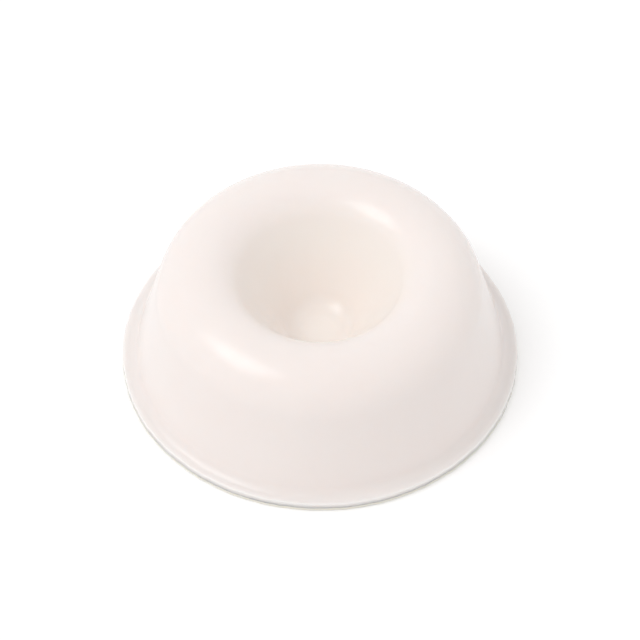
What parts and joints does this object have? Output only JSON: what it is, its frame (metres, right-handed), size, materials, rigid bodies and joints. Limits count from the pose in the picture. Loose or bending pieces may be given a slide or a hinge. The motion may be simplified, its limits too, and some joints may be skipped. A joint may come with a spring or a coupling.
{
  "type": "adhesive bumper foot",
  "caption": "Round self-adhesive bumper foot in soft white elastomer, with a rolled crown around a blind recess and an adhesive film under a flat base.",
  "frame": {"origin": "centre of the adhesive face, which is the plane that sticks to the furniture", "axes": "+Z is the axis of the round foot, from the adhesive face up to the crown; X and Y are free, because the foot is round"},
  "size_m": [0.0224, 0.0224, 0.0078],
  "materials": {
    "elastomer": "soft moulded white elastomer, satin, slightly warm and translucent",
    "adhesive": "pressure-sensitive adhesive film, glossy, milky pale straw"
  },
  "bodies": {
    "root": {"bumper_body": "elastomer", "adhesive_pad": "adhesive"}
  },
  "joints": []
}
